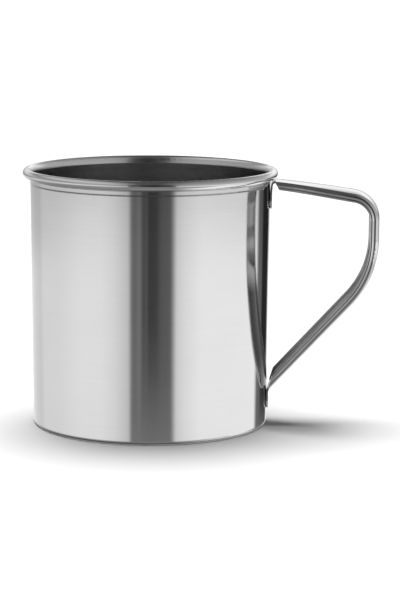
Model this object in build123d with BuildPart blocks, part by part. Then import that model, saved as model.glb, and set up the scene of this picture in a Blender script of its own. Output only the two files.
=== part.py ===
from build123d import *
from math import acos, atan, cos, degrees, radians, sin, sqrt, tan
import os

# Stainless steel shaving mug: a drawn cup with a rolled rim.
# A pressed strip handle is spot-welded to its wall.
# Frame: origin at the centre of the base, +Z up, handle towards +X, symmetric about the XZ plane.

# cup body, one sheet
height = 80.7
sheet = 0.5
rim_radius = 40.0
bead_radius = 1.45
lip_radius = 1.2
lip_drop = 2.35
wall_top_radius = 37.6
wall_base_radius = 36.95
corner_radius = 1.2
foot_inner_radius = 29.0
recess_radius = 27.4
recess_depth = 0.9
recess_step_shift = 0.2
band_low = 76.1
band_high = 77.45
band_proud = 0.1
band_lower_slope = 0.2
band_upper_slope = 0.15
curl_opening = 0.08

# handle, one strip; a section is its width, crown, corner radius and flange height
strip = 0.6
hem = 0.45
hem_flat = 0.2
groove = 0.12
upper_tab_width = 9.0
lower_tab_width = 8.0
arm_section = (10.5, 0.06, 0.75, 0.4)
grip_section = (15.6, 0.65, 1.15, 0.1)
leg_section = (14.6, 0.15, 1.0, 0.1)
arm_widening = ((0.0, 0.0), (0.4, 0.45), (0.75, 0.85), (1.0, 1.0))

# route of the strip's outer face in the XZ plane, from the upper tab down to the lower tab
upper_tab_low = 68.5
upper_tab_high = 72.1
lift_radius = 35.0
lift_turn = 6.5
upper_bend_radius = 1.45
arm_tilt = 4.6
arm_turn = 4.0
arm_radius = 358.6
knuckle_radius = 9.0
grip_length = 6.5
leg_tilt = 43.6
leg_radius = 30.0
lower_bend_radius = 2.5
lower_tab_low = 4.9
tab_corner = 2.6
flange_clearance = 0.15
upper_cut_top = 39.4
upper_cut_foot = 40.5
upper_cut_drop = 2.0
lower_cut_foot = 37.6
lower_cut_top = 40.0
lower_cut_rise = 8.0
cut_reach = 5.0
edge_search = 0.1
length_match = 0.01

# spot welds, two side by side on each tab
nugget_radius = 1.3
nugget_spacing = 4.0
nugget_in_wall = 0.36
nugget_in_tab = 0.3
upper_weld_height = 70.4
lower_weld_height = 7.6

os.makedirs("parts", exist_ok=True)

foot_outer_radius = wall_base_radius - corner_radius
bead_centre = (rim_radius - bead_radius, height - bead_radius)
taper = (wall_top_radius - wall_base_radius) / (band_low - corner_radius)


def wall_at(z):
    """Outer radius of the plain wall at height z."""
    return wall_base_radius + taper * (z - corner_radius)


def channel(plane, width, crown, corner, flange):
    """Section of the pressed strip, with a crowned outer face and rounded corners.

    The flanges' edges are rolled into hems. A groove runs along the outside, between each flange and its hem.
    """
    w = width / 2
    crown_radius = (w * w + crown * crown) / (2 * crown)
    corner_y = sqrt((crown_radius - corner) ** 2 - (w - corner) ** 2) - crown_radius
    groove_y = corner_y - flange - sqrt(corner**2 - (corner - groove) ** 2)
    hem_high = groove_y - sqrt(hem**2 - (hem - groove) ** 2)
    hem_low = hem_high - hem_flat
    hem_top = hem_high + sqrt(hem**2 - (strip - hem) ** 2)
    outer = crown_radius / (crown_radius - corner)
    inner = (crown_radius - strip) / (crown_radius - corner)
    crown_end = ((w - corner) * outer, (corner_y + crown_radius) * outer - crown_radius)
    inside_end = ((w - corner) * inner, (corner_y + crown_radius) * inner - crown_radius)
    with BuildSketch(plane) as section:
        with BuildLine():
            ThreePointArc((-crown_end[0], crown_end[1]), (0, 0), crown_end)
            ThreePointArc((-inside_end[0], inside_end[1]), (0, -strip), inside_end)
            for side in (1, -1):
                face = side * w
                inside = side * (w - strip)
                hem_back = side * (w - 2 * hem)
                valley = (side * (w - groove), groove_y)
                RadiusArc((side * crown_end[0], crown_end[1]), (face, corner_y), side * corner)
                Line((face, corner_y), (face, corner_y - flange))
                RadiusArc((face, corner_y - flange), valley, side * corner)
                RadiusArc(valley, (face, hem_high), side * hem)
                Line((face, hem_high), (face, hem_low))
                ThreePointArc((face, hem_low), (side * (w - hem), hem_low - hem), (hem_back, hem_low))
                Line((hem_back, hem_low), (hem_back, hem_high))
                RadiusArc((hem_back, hem_high), (inside, hem_top), side * hem)
                Line((inside, hem_top), (inside, corner_y))
                RadiusArc((side * inside_end[0], inside_end[1]), (inside, corner_y), side * (corner - strip))
        make_face()
    return section.sketch.face()


def widened_arm(share):
    """Measures of the arm's section, that share of the way towards the grip's."""
    return [start + (end - start) * share for start, end in zip(arm_section, grip_section)]


def across(point, direction):
    """Plane across the route at a point, its X along the strip's width and its Y towards the crown."""
    return Plane(origin=point, x_dir=(0, 1, 0), z_dir=direction)


def spot_welds(height):
    """Two fused nuggets side by side, crossing the contact between the wall and a tab."""
    with BuildSketch(Plane.YZ.offset(wall_at(height) - nugget_in_wall)) as spots:
        with Locations((0, height)):
            with GridLocations(nugget_spacing, 0, 2, 1):
                Circle(nugget_radius)
    return extrude(spots.sketch, amount=nugget_in_wall + nugget_in_tab)


def on_bead(radius, angle):
    """Point that far from the bead's centre, at an angle in degrees above the outward direction."""
    return bead_centre[0] + radius * cos(radians(angle)), bead_centre[1] + radius * sin(radians(angle))


def lip(thickness):
    """Turn of the wall into the bead's top, a wide arc and then a tight one, that deep in the sheet."""
    for radius, centre, first, last in (
        (flare_radius, (wall_top_radius - sheet + flare_radius, height - lip_drop), 0, flare_turn),
        (lip_radius, (bead_centre[0], height - lip_radius), flare_turn, 90),
    ):
        turns = [radians(angle) for angle in (first, (first + last) / 2, last)]
        reach = radius - thickness
        ThreePointArc(*[(centre[0] - reach * cos(turn), centre[1] + reach * sin(turn)) for turn in turns])


with BuildPart() as upper_spot_welds:
    add(spot_welds(upper_weld_height))

with BuildPart() as lower_spot_welds:
    add(spot_welds(lower_weld_height))

# The sheet is the region between its outer and inner faces. The wall swells slightly in a band under the
# bead, turns outward in a soft lip, and curls down until its edge all but meets the wall.
flare_turn = 2 * degrees(atan((bead_radius - lip_radius) / (lip_drop - lip_radius)))
flare_radius = (lip_drop - lip_radius) / sin(radians(flare_turn)) + lip_radius
curl_inner = bead_radius - sheet
curl_end = -degrees(acos((wall_top_radius + curl_opening - bead_centre[0]) / bead_radius))
band_radius = wall_top_radius + band_proud

with BuildPart() as cup_body:
    with BuildSketch(Plane.XZ) as profile:
        with BuildLine():
            Line((0, recess_depth), (recess_radius, recess_depth))
            Line((recess_radius, recess_depth), (foot_inner_radius, 0))
            Line((foot_inner_radius, 0), (foot_outer_radius, 0))
            RadiusArc((foot_outer_radius, 0), (wall_base_radius, corner_radius), -corner_radius)
            Line((wall_base_radius, corner_radius), (wall_top_radius, band_low))
            Line((wall_top_radius, band_low), (band_radius, band_low + band_lower_slope))
            Line((band_radius, band_low + band_lower_slope), (band_radius, band_high))
            Line((band_radius, band_high), (wall_top_radius, band_high + band_upper_slope))
            Line((wall_top_radius, band_high + band_upper_slope), (wall_top_radius, height - lip_drop))
            lip(sheet)
            ThreePointArc(on_bead(curl_inner, 90), on_bead(curl_inner, 0), on_bead(curl_inner, curl_end))
            Line(on_bead(curl_inner, curl_end), on_bead(bead_radius, curl_end))
            ThreePointArc(on_bead(bead_radius, curl_end), on_bead(bead_radius, 0), on_bead(bead_radius, 90))
            lip(0)
            Line((wall_top_radius - sheet, height - lip_drop), (wall_top_radius - sheet, band_low))
            Line((wall_top_radius - sheet, band_low), (wall_base_radius - sheet, corner_radius))
            RadiusArc(
                (wall_base_radius - sheet, corner_radius),
                (foot_outer_radius, sheet),
                corner_radius - sheet,
            )
            Line((foot_outer_radius, sheet), (foot_inner_radius + recess_step_shift, sheet))
            Line(
                (foot_inner_radius + recess_step_shift, sheet),
                (recess_radius + recess_step_shift, recess_depth + sheet),
            )
            Line((recess_radius + recess_step_shift, recess_depth + sheet), (0, recess_depth + sheet))
            Line((0, recess_depth + sheet), (0, recess_depth))
        make_face()
    revolve(axis=Axis.Z)
    add(upper_spot_welds.part, mode=Mode.SUBTRACT)
    add(lower_spot_welds.part, mode=Mode.SUBTRACT)

# Outer face of the strip, a chain of tangent lines and arcs: up the wall and a little away from it, over the
# upper bend, out along the arm, round the knuckle, down the grip, in along the leg and down the lower tab.
wall_lean = degrees(atan(taper))
with BuildLine(Plane.XZ) as upper_route:
    tab_up = Line((wall_at(upper_tab_low), upper_tab_low), (wall_at(upper_tab_high), upper_tab_high))
    lift = JernArc(tab_up @ 1, tab_up % 1, lift_radius, -lift_turn)
    bend_out = JernArc(lift @ 1, lift % 1, upper_bend_radius, wall_lean + lift_turn - 90 - arm_tilt)

with BuildLine(Plane.XZ) as arm_route:
    arm = JernArc(bend_out @ 1, bend_out % 1, arm_radius, -arm_turn)

with BuildLine(Plane.XZ) as grip_route:
    knuckle = JernArc(arm @ 1, arm % 1, knuckle_radius, arm_tilt + arm_turn - 90)
    grip = Line(knuckle @ 1, knuckle @ 1 + grip_length * (knuckle % 1))
    leg_bend = JernArc(grip @ 1, grip % 1, leg_radius, -leg_tilt)

leg_start = leg_bend @ 1
leg_direction = leg_bend % 1
leg_reach = (leg_start.X - strip - wall_at(leg_start.Z)) / (-leg_direction.X + taper * leg_direction.Z)
lower_turn = leg_tilt - wall_lean
leg_length = leg_reach - lower_bend_radius * tan(radians(lower_turn / 2))
leg_end = leg_start + leg_length * leg_direction

with BuildLine(Plane.XZ) as lower_route:
    bend_down = JernArc(leg_end, leg_direction, lower_bend_radius, lower_turn)
    tab_down = Line(bend_down @ 1, (wall_at(lower_tab_low) + strip, lower_tab_low))

# The flanges stop short of both tabs, cut on a slant below the sheet.
sheet_under_arm = (bend_out @ 1).Z - strip - flange_clearance
leg_slope = leg_direction.Z / leg_direction.X
leg_rise = (strip + flange_clearance) / -leg_direction.X
under_leg = leg_end.Z + leg_rise - leg_end.X * leg_slope
with BuildSketch(Plane.XZ) as flange_cuts:
    with BuildLine():
        Polyline(
            (upper_cut_top - cut_reach, sheet_under_arm),
            (upper_cut_top, sheet_under_arm),
            (upper_cut_foot, sheet_under_arm - upper_cut_drop),
            (upper_cut_foot, sheet_under_arm - cut_reach),
            (upper_cut_top - cut_reach, sheet_under_arm - cut_reach),
            close=True,
        )
    make_face()
    with BuildLine():
        Polyline(
            (lower_cut_foot, under_leg + lower_cut_foot * leg_slope),
            (lower_cut_foot - cut_reach, under_leg + (lower_cut_foot - cut_reach) * leg_slope),
            (lower_cut_foot - cut_reach, leg_end.Z + lower_cut_rise),
            (lower_cut_top, leg_end.Z + lower_cut_rise),
            close=True,
        )
    make_face()

with BuildPart() as handle:
    loft([channel(across(arm @ along, arm % along), *widened_arm(share)) for along, share in arm_widening])
    sweep(channel(across(knuckle @ 0, knuckle % 0), *grip_section), path=grip_route.line)
    loft(
        [
            channel(across(leg_start, leg_direction), *grip_section),
            channel(across(leg_end, leg_direction), *leg_section),
        ],
        ruled=True,
    )
    extrude(flange_cuts.sketch, amount=grip_section[0], both=True, mode=Mode.SUBTRACT)
    with BuildSketch(across(tab_up @ 0, tab_up % 0)):
        Rectangle(upper_tab_width, strip, align=(Align.CENTER, Align.MAX))
    sweep(path=upper_route.line)
    with BuildSketch(across(leg_end, leg_direction)):
        Rectangle(lower_tab_width, strip, align=(Align.CENTER, Align.MAX))
    sweep(path=lower_route.line)
    for low in (upper_tab_low, lower_tab_low):
        ends = handle.edges().filter_by_position(Axis.Z, low - edge_search, low + edge_search)
        fillet(ends.filter_by(lambda e: abs(e.length - strip) < length_match), tab_corner)
    add(upper_spot_welds.part, mode=Mode.SUBTRACT)
    add(lower_spot_welds.part, mode=Mode.SUBTRACT)

cup_body.part.label = "cup_body"
export_step(cup_body.part, "parts/cup_body.step")
handle.part.label = "handle"
export_step(handle.part, "parts/handle.step")
upper_spot_welds.part.label = "upper_spot_welds"
export_step(upper_spot_welds.part, "parts/upper_spot_welds.step")
lower_spot_welds.part.label = "lower_spot_welds"
export_step(lower_spot_welds.part, "parts/lower_spot_welds.step")
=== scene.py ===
import math

import bpy
from mathutils import Matrix, Vector


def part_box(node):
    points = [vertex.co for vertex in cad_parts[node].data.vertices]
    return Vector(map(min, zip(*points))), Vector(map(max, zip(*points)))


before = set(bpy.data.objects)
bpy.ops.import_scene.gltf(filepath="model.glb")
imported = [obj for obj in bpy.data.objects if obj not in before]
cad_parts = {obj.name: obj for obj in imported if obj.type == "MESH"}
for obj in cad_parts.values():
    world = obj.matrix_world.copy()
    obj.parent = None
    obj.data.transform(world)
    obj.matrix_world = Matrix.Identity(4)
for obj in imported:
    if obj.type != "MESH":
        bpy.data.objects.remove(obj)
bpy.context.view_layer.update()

# The mug stands on z = 0 with its axis on z and its handle towards +X. Lengths are in metres.
MM = 0.001
_, cup_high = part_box("cup_body")
upper_weld_low, upper_weld_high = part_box("upper_spot_welds")
lower_weld_low, lower_weld_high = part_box("lower_spot_welds")

# The wall widens slightly upwards. These radii lie between its two faces, at a low and a high place.
RIM_RADIUS = cup_high.x
WALL_LOW = 2 * MM
WALL_LOW_RADIUS = RIM_RADIUS - 3.4 * MM
WALL_HIGH = 70 * MM
WALL_HIGH_RADIUS = RIM_RADIUS - 2.7 * MM
# Within the wall, the underside of the base lies below this height, and the inside of the cup above it.
INSIDE_FROM = 1.2 * MM
# The painted shade at the foot of the wall, a dark line that stands in for the contact shadow, fades out
# between these heights.
FOOT_SHADE_FADE = (0.4 * MM, 1.1 * MM)
# A fine dark line of painted shade runs round the wall, right under the rim's band, and fades out above and
# below.
CREASE_SHADE_HEIGHT = cup_high.z - 4.55 * MM
CREASE_SHADE_FADE = (0.1 * MM, 0.4 * MM)
# Each spot weld has a round electrode mark, with a soft edge just outside the weld itself.
WELD_RADIUS = 1.3 * MM
MARK_FADE = (1.3 * MM, 1.7 * MM)
# The marks begin between these places on x, so that only the handle's side of the cup has them.
MARKS_FROM = (30 * MM, 34 * MM)

# ---------------------------------------------------------------- camera

# The camera stands a little to the handle's side of the front, so that the handle comes slightly forward.
CAMERA_TURN = math.radians(4.0)
CAMERA_DISTANCE = 702.1 * MM
CAMERA_HEIGHT = 155.64 * MM
# Radians: to the right of the mug's axis, down from level, and about the line of sight.
CAMERA_YAW = 0.0224
CAMERA_PITCH = 0.165
CAMERA_ROLL = 0.006
# Millimetres of a full-frame camera.
CAMERA_LENS = 134.94
CAMERA_SENSOR = 36


def make_camera():
    """A long lens, a little above the rim."""
    heading = CAMERA_YAW - CAMERA_TURN
    forward = Vector((math.sin(heading), math.cos(heading), 0)) * math.cos(CAMERA_PITCH)
    forward.z = -math.sin(CAMERA_PITCH)
    level = Vector((math.cos(heading), -math.sin(heading), 0))
    upright = level.cross(forward)
    right = level * math.cos(CAMERA_ROLL) + upright * math.sin(CAMERA_ROLL)
    up = upright * math.cos(CAMERA_ROLL) - level * math.sin(CAMERA_ROLL)
    place = Vector((math.sin(CAMERA_TURN), -math.cos(CAMERA_TURN), 0)) * CAMERA_DISTANCE
    place.z = CAMERA_HEIGHT
    data = bpy.data.cameras.new("camera")
    data.sensor_width = CAMERA_SENSOR
    data.lens = CAMERA_LENS
    camera = bpy.data.objects.new("camera", data)
    turn = Matrix((right, up, -forward)).transposed().to_4x4()
    camera.matrix_world = Matrix.Translation(place) @ turn
    bpy.context.scene.collection.objects.link(camera)
    bpy.context.scene.camera = camera


# ---------------------------------------------------------------- node helper

# Nearly all the values of a noise texture lie between these.
NOISE_LOW = 0.3
NOISE_HIGH = 0.7


class Nodes:
    """Short calls for building a node tree."""

    def __init__(self, tree):
        self.tree = tree
        self.tree.nodes.clear()

    def new(self, kind, **settings):
        node = self.tree.nodes.new(kind)
        for key, value in settings.items():
            setattr(node, key, value)
        return node

    def put(self, socket, value):
        if isinstance(value, bpy.types.NodeSocket):
            self.tree.links.new(value, socket)
        else:
            socket.default_value = value

    def math(self, operation, *values):
        node = self.new("ShaderNodeMath", operation=operation)
        for socket, value in zip(node.inputs, values):
            self.put(socket, value)
        return node.outputs[0]

    def total(self, *values):
        result = values[0]
        for value in values[1:]:
            result = self.math("ADD", result, value)
        return result

    def product(self, *values):
        result = values[0]
        for value in values[1:]:
            result = self.math("MULTIPLY", result, value)
        return result

    def length(self, a, b):
        """The length of a flat vector with the parts a and b."""
        return self.math("SQRT", self.total(self.product(a, a), self.product(b, b)))

    def vector(self, x, y, z):
        node = self.new("ShaderNodeCombineXYZ")
        for socket, value in zip(node.inputs, (x, y, z)):
            self.put(socket, value)
        return node.outputs[0]

    def split(self, vector):
        node = self.new("ShaderNodeSeparateXYZ")
        self.put(node.inputs[0], vector)
        return node.outputs

    def spread(self, value, low, high, to_low=0.0, to_high=1.0, smooth=True):
        """The run from low to high, mapped on the run from to_low to to_high and held at its ends."""
        node = self.new("ShaderNodeMapRange")
        node.interpolation_type = "SMOOTHSTEP" if smooth else "LINEAR"
        for socket, number in zip(node.inputs, (value, low, high, to_low, to_high)):
            self.put(socket, number)
        return node.outputs[0]

    def fade(self, value, low, high):
        """1 below low, 0 above high."""
        return self.spread(value, low, high, 1.0, 0.0)

    def vary(self, noise, low, high):
        """The usual values of a noise, mapped evenly on the run from low to high."""
        return self.spread(noise, NOISE_LOW, NOISE_HIGH, low, high, smooth=False)

    def surface(self, kind, shader):
        """Links the shader to a new output node."""
        self.put(self.new(kind).inputs["Surface"], shader.outputs[0])

    def blend(self, factor, a, b):
        node = self.new("ShaderNodeMix", data_type="FLOAT")
        self.put(node.inputs["Factor"], factor)
        self.put(node.inputs["A"], a)
        self.put(node.inputs["B"], b)
        return node.outputs["Result"]

    def noise(self, vector, scale, detail=2.0):
        node = self.new("ShaderNodeTexNoise")
        self.put(node.inputs["Vector"], vector)
        node.inputs["Scale"].default_value = scale
        node.inputs["Detail"].default_value = detail
        return node.outputs["Fac"]

    def curve(self, value, low, high, stops):
        """Brightness as straight runs between (place, brightness) stops, over places from low to high."""
        peak = max(brightness for _, brightness in stops)
        node = self.new("ShaderNodeValToRGB")
        elements = node.color_ramp.elements
        while len(elements) < len(stops):
            elements.new(1.0)
        for element, (place, brightness) in zip(elements, stops):
            element.position = (place - low) / (high - low)
            element.color = (brightness / peak,) * 3 + (1,)
        self.put(node.inputs[0], self.spread(value, low, high, smooth=False))
        return self.math("MULTIPLY", node.outputs[0], peak)


def new_material(name):
    """An empty node material and the helper that fills it."""
    material = bpy.data.materials.new(name)
    material.use_nodes = True
    return material, Nodes(material.node_tree)


# ---------------------------------------------------------------- studio

# The steel reflects a surround that is drawn by direction. The tables below go by degrees round the mug, from
# the camera's direction and positive to its right, or by height, the sine of the angle above the horizon.

# Round the mug: a soft panel on the left, a brighter one on the right, and between them a dark opening about
# the camera, with a few paler uprights in it.
ROUND = (
    (-180, 1.00),
    (-150, 0.88),
    (-133, 0.86),
    (-127, 1.00),
    (-97, 1.05),
    (-70, 1.16),
    (-48, 1.17),
    (-35, 1.06),
    (-27, 0.92),
    (-20.5, 0.80),
    (-18, 0.20),
    (-13, 0.19),
    (-11.5, 0.27),
    (-9, 0.22),
    (-6.5, 0.06),
    (-4, 0.15),
    (-1.5, 0.06),
    (6, 0.07),
    (9, 0.12),
    (12, 0.14),
    (19.5, 0.15),
    (22, 0.45),
    (25, 0.95),
    (34, 1.12),
    (50, 1.28),
    (124, 1.25),
    (170, 1.20),
)
# How bright the panels are by height: full a little below the horizon, dimmer above it and towards the floor.
HEIGHTS = (
    (-1.0, 0.30),
    (-0.6, 0.34),
    (-0.4, 0.48),
    (-0.28, 0.84),
    (-0.245, 0.98),
    (-0.156, 1.00),
    (-0.136, 0.74),
    (-0.05, 0.70),
    (0.05, 0.50),
    (0.4, 0.42),
    (1.0, 0.50),
)
# A dark upright behind the mug on the right: the share of the light that it takes away, by degrees.
DARK_UPRIGHT = (
    (0, 0.0),
    (124, 0.0),
    (129, 0.86),
    (137, 0.87),
    (140, 0.98),
    (158, 0.98),
    (163, 0.50),
    (168, 0.0),
)
# The heights between which the dark upright fades in at its foot and out at its top.
UPRIGHT_FOOT = (-0.5, -0.3)
UPRIGHT_TOP = (-0.08, 0.0)
# The lit floor near the mug, by height. It shows where the panels leave less light, below the dark opening.
NEAR_FLOOR = (
    (-1.0, 0.34),
    (-0.3, 0.28),
    (-0.23, 0.24),
    (-0.2157, 0.08),
    (-0.205, 0.0),
    (0.0, 0.0),
)
# The gain of the backdrop behind the mug, by height: dimmer at the horizon, brighter above it.
BEHIND = (
    (-1.0, 1.0),
    (-0.13, 1.0),
    (-0.08, 0.66),
    (0.02, 0.85),
    (0.15, 2.05),
    (0.25, 2.1),
    (0.4, 1.0),
)
# Where the backdrop begins and where it is full, by how much a direction points towards the camera.
BEHIND_FROM = (-0.5, -0.9)
# A lit patch low on the right, beside the mug and behind it. Each pair is where it begins and where it is
# full: by height, by how much a direction points to the camera's right, and by how much towards the camera.
PATCH_BELOW = (-0.35, -0.6)
PATCH_RIGHT = (0.2, 0.45)
PATCH_FRONT = (0.5, 0.2)
PATCH_GAIN = 2.2
# The light overhead, from the camera's left, -1, to its right, 1: two soft panels, the left one brighter.
ROOF = (
    (-1.0, 0.90),
    (-0.5, 0.70),
    (-0.15, 0.12),
    (0.1, 0.10),
    (0.5, 0.38),
    (1.0, 0.40),
)
# The height where the roof begins and is full.
ROOF_FROM = (0.4, 0.65)
# The share of the studio's light that reaches the floor, beside the key light.
FLOOR_FILL = 0.07


def studio_light(n):
    """The brightness of the studio by direction."""
    x, y, z = n.split(n.new("ShaderNodeTexCoord").outputs["Generated"])
    turn_cos = math.cos(CAMERA_TURN)
    turn_sin = math.sin(CAMERA_TURN)
    side = n.total(n.product(x, turn_cos), n.product(y, turn_sin))
    front = n.math("SUBTRACT", n.product(x, turn_sin), n.product(y, turn_cos))
    degrees = n.product(n.math("ARCTAN2", side, front), 180 / math.pi)
    upright = n.product(
        n.spread(z, *UPRIGHT_FOOT),
        n.fade(z, *UPRIGHT_TOP),
        n.curve(degrees, 0, 180, DARK_UPRIGHT),
    )
    panels = n.product(
        n.curve(degrees, -180, 180, ROUND),
        n.curve(z, -1, 1, HEIGHTS),
        n.math("SUBTRACT", 1.0, upright),
    )
    patch = n.product(
        n.spread(z, *PATCH_BELOW),
        n.spread(side, *PATCH_RIGHT),
        n.spread(front, *PATCH_FRONT),
    )
    around = n.product(
        n.math("MAXIMUM", panels, n.curve(z, -1, 0, NEAR_FLOOR)),
        n.blend(n.spread(front, *BEHIND_FROM), 1.0, n.curve(z, -1, 1, BEHIND)),
        n.total(1.0, n.product(patch, PATCH_GAIN)),
    )
    return n.blend(n.spread(z, *ROOF_FROM), around, n.curve(side, -1, 1, ROOF))


def make_world():
    """The studio for the steel, a share of it for the floor, and plain white for the camera."""
    world = bpy.data.worlds.new("studio")
    bpy.context.scene.world = world
    world.use_nodes = True
    n = Nodes(world.node_tree)
    studio = studio_light(n)
    path = n.new("ShaderNodeLightPath").outputs
    seen_by_surfaces = n.blend(path["Is Diffuse Ray"], studio, n.product(studio, FLOOR_FILL))
    background = n.new("ShaderNodeBackground")
    n.put(background.inputs["Color"], n.blend(path["Is Camera Ray"], seen_by_surfaces, 1.0))
    n.surface("ShaderNodeOutputWorld", background)


# The key light is very soft. It comes from overhead, a little from the left and from behind the mug.
KEY_LIGHT_ENERGY = 4.1
KEY_LIGHT_SPREAD = math.radians(42)
KEY_LIGHT_SOURCE = (-0.03, 0.18, 1.0)


def make_key_light():
    """The light that makes the mug's shadow. The steel doesn't reflect it, and shows the studio alone."""
    data = bpy.data.lights.new("key_light", "SUN")
    data.energy = KEY_LIGHT_ENERGY
    data.angle = KEY_LIGHT_SPREAD
    light = bpy.data.objects.new("key_light", data)
    light.rotation_euler = Vector(KEY_LIGHT_SOURCE).to_track_quat("Z", "Y").to_euler()
    light.visible_glossy = False
    bpy.context.scene.collection.objects.link(light)


# Metres from the mug to the floor's edges.
FLOOR_REACH = 12.0
FLOOR_COLOUR = (0.86, 0.86, 0.86, 1)
FLOOR_ROUGHNESS = 0.9


def make_floor_white():
    """Matt white."""
    material, n = new_material("floor_white")
    shader = n.new("ShaderNodeBsdfPrincipled")
    shader.inputs["Base Color"].default_value = FLOOR_COLOUR
    shader.inputs["Roughness"].default_value = FLOOR_ROUGHNESS
    shader.inputs["Specular IOR Level"].default_value = 0.0
    n.surface("ShaderNodeOutputMaterial", shader)
    return material


def make_floor():
    """A wide sheet at z = 0, which the steel doesn't reflect."""
    low, high = -FLOOR_REACH, FLOOR_REACH
    mesh = bpy.data.meshes.new("floor")
    corners = [(low, low, 0), (high, low, 0), (high, high, 0), (low, high, 0)]
    mesh.from_pydata(corners, [], [(0, 1, 2, 3)])
    mesh.materials.append(make_floor_white())
    floor = bpy.data.objects.new("floor", mesh)
    floor.visible_glossy = False
    bpy.context.scene.collection.objects.link(floor)


# ---------------------------------------------------------------- steel

# The depth of the grain at a bump strength of 1.
GRAIN_DEPTH = 0.01 * MM


def steel_shader(n, tone, grain, roughness, bump):
    """Bright steel whose grain varies its tone, its gloss and, very slightly, its surface."""
    shader = n.new("ShaderNodeBsdfPrincipled")
    shader.inputs["Metallic"].default_value = 1.0
    colour = n.new("ShaderNodeCombineColor")
    for socket in colour.inputs:
        n.put(socket, tone)
    n.put(shader.inputs["Base Color"], colour.outputs[0])
    n.put(shader.inputs["Roughness"], roughness)
    relief = n.new("ShaderNodeBump")
    relief.inputs["Strength"].default_value = bump
    relief.inputs["Distance"].default_value = GRAIN_DEPTH
    n.put(relief.inputs["Height"], grain)
    n.put(shader.inputs["Normal"], relief.outputs[0])
    n.surface("ShaderNodeOutputMaterial", shader)


def object_place(n):
    """The place on the object as a vector, then its x, y and z."""
    place = n.new("ShaderNodeTexCoord").outputs["Object"]
    return place, *n.split(place)


def weld_marks(n, x, y, z):
    """1 inside the round electrode marks over the spot welds, 0 elsewhere."""
    half_spacing = (upper_weld_high.y - upper_weld_low.y) / 2 - WELD_RADIUS
    across = n.math("SUBTRACT", n.math("ABSOLUTE", y), half_spacing)
    marks = 0.0
    for low, high in ((upper_weld_low, upper_weld_high), (lower_weld_low, lower_weld_high)):
        along = n.math("SUBTRACT", z, (low.z + high.z) / 2)
        marks = n.total(marks, n.fade(n.length(across, along), *MARK_FADE))
    return n.product(marks, n.spread(x, *MARKS_FROM))


# In the values of each finish, tone is the share of the light that the steel reflects. A pair is a range that
# a noise runs through, and a single number is the change that one feature makes. LINES, CLOUDS and GRIT are
# noise scales, in features per metre, and STRETCH is the share of that scale that is left along the lines.

CUP_FINE_LINES = 16000
CUP_COARSE_LINES = 4500
CUP_FINE_SHARE = 0.6
CUP_STRETCH = 0.006
CUP_CLOUDS = 55
CUP_TONE = (0.605, 0.645)
CUP_TONE_CLOUD = (-0.012, 0.012)
# Painted shade: darkens the tone in a line at the foot of the wall, for the contact shadow.
CUP_TONE_FOOT_SHADE = -0.56
# Painted shade: darkens the tone in a line under the rim's band.
CUP_TONE_CREASE_SHADE = -0.42
# Painted shade: the tone is slightly darker inside the cup.
CUP_TONE_INSIDE_SHADE = -0.01
CUP_TONE_MARK = -0.08
CUP_ROUGHNESS = (0.07, 0.10)
CUP_ROUGHNESS_CLOUD = (0.0, 0.02)
CUP_ROUGHNESS_INSIDE = 0.1
CUP_ROUGHNESS_MARK = 0.12
CUP_BUMP = 0.15
# The painted shade under the rim's band is weaker where this grit is low.
CREASE_SHADE_GRIT = 2500
CREASE_SHADE_GRIT_RANGE = (0.3, 0.6)
CREASE_SHADE_STRENGTH = (0.7, 1.0)


def painted_crease_shade(n, place, z, outside):
    """1 in the middle of the painted shade line under the rim's band, less where it is weak, 0 away from it.
    """
    distance = n.math("ABSOLUTE", n.math("SUBTRACT", z, CREASE_SHADE_HEIGHT))
    strength = n.spread(n.noise(place, CREASE_SHADE_GRIT), *CREASE_SHADE_GRIT_RANGE, *CREASE_SHADE_STRENGTH)
    return n.product(n.fade(distance, *CREASE_SHADE_FADE), outside, strength)


def turned_lines(n, x, y, z, radius):
    """Fine and coarse lines, round the wall and in rings over the base."""
    across = n.total(z, radius)
    rings = n.vector(n.product(x, CUP_STRETCH), n.product(y, CUP_STRETCH), across)
    fine = n.noise(rings, CUP_FINE_LINES, detail=3)
    coarse = n.noise(rings, CUP_COARSE_LINES)
    return n.total(n.product(fine, CUP_FINE_SHARE), n.product(coarse, 1 - CUP_FINE_SHARE))


def make_cup_steel():
    """Turned finish, duller and with slight painted shade inside, and with dark lines of painted shade at the
    foot of the wall and under the rim's band.
    """
    material, n = new_material("cup_brushed_steel")
    place, x, y, z = object_place(n)
    radius = n.length(x, y)
    wall = n.spread(z, WALL_LOW, WALL_HIGH, WALL_LOW_RADIUS, WALL_HIGH_RADIUS, smooth=False)
    outside = n.math("GREATER_THAN", radius, wall)
    inside = n.product(n.math("LESS_THAN", radius, wall), n.math("GREATER_THAN", z, INSIDE_FROM))
    # Painted shade: a dark line at the foot of the wall stands in for the contact shadow.
    foot_shade = n.product(n.fade(z, *FOOT_SHADE_FADE), outside)
    # Painted shade: a dark line under the rim's band.
    crease_shade = painted_crease_shade(n, place, z, outside)
    marks = weld_marks(n, x, y, z)
    grain = turned_lines(n, x, y, z, radius)
    cloud = n.noise(place, CUP_CLOUDS)
    tone = n.total(
        n.vary(grain, *CUP_TONE),
        n.vary(cloud, *CUP_TONE_CLOUD),
        n.product(foot_shade, CUP_TONE_FOOT_SHADE),
        n.product(crease_shade, CUP_TONE_CREASE_SHADE),
        n.product(inside, CUP_TONE_INSIDE_SHADE),
        n.product(marks, CUP_TONE_MARK),
    )
    roughness = n.total(
        n.vary(grain, *CUP_ROUGHNESS),
        n.vary(cloud, *CUP_ROUGHNESS_CLOUD),
        n.product(inside, CUP_ROUGHNESS_INSIDE),
        n.product(marks, CUP_ROUGHNESS_MARK),
    )
    steel_shader(n, tone, grain, roughness, CUP_BUMP)
    return material


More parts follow.
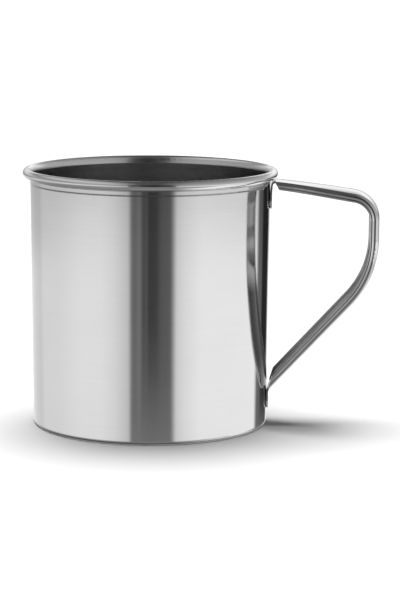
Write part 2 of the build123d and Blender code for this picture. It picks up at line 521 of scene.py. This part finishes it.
HANDLE_LINES = 7000
HANDLE_STRETCH = 0.02
HANDLE_CLOUDS = 120
HANDLE_TONE = (0.60, 0.65)
HANDLE_TONE_CLOUD = (-0.015, 0.015)
HANDLE_TONE_MARK = -0.1
HANDLE_ROUGHNESS = (0.03, 0.05)
HANDLE_ROUGHNESS_CLOUD = (0.0, 0.015)
HANDLE_ROUGHNESS_MARK = 0.15
HANDLE_BUMP = 0.06


def make_handle_steel():
    """Drawn strip: fine lines along its length, and softer, rubbed patches."""
    material, n = new_material("handle_brushed_steel")
    place, x, y, z = object_place(n)
    marks = weld_marks(n, x, y, z)
    lines = n.vector(n.product(x, HANDLE_STRETCH), y, n.product(z, HANDLE_STRETCH))
    grain = n.noise(lines, HANDLE_LINES, detail=3)
    cloud = n.noise(place, HANDLE_CLOUDS, detail=3)
    tone = n.total(
        n.vary(grain, *HANDLE_TONE),
        n.vary(cloud, *HANDLE_TONE_CLOUD),
        n.product(marks, HANDLE_TONE_MARK),
    )
    roughness = n.total(
        n.vary(grain, *HANDLE_ROUGHNESS),
        n.vary(cloud, *HANDLE_ROUGHNESS_CLOUD),
        n.product(marks, HANDLE_ROUGHNESS_MARK),
    )
    steel_shader(n, tone, grain, roughness, HANDLE_BUMP)
    return material


WELD_GRIT = 4000
WELD_TONE = (0.36, 0.5)
WELD_ROUGHNESS = (0.3, 0.5)
WELD_BUMP = 0.4


def make_weld_steel():
    """Fused nuggets: darker, grainy metal."""
    material, n = new_material("weld_steel")
    place, _, _, _ = object_place(n)
    grit = n.noise(place, WELD_GRIT, detail=4)
    tone = n.vary(grit, *WELD_TONE)
    roughness = n.vary(grit, *WELD_ROUGHNESS)
    steel_shader(n, tone, grit, roughness, WELD_BUMP)
    return material


def dress(node, material):
    """Puts the material in every slot of a CAD node."""
    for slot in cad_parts[node].material_slots:
        slot.material = material


dress("cup_body", make_cup_steel())
dress("handle", make_handle_steel())
weld_steel = make_weld_steel()
dress("upper_spot_welds", weld_steel)
dress("lower_spot_welds", weld_steel)

make_camera()
make_world()
make_key_light()
make_floor()
bpy.context.scene.view_settings.view_transform = "Standard"
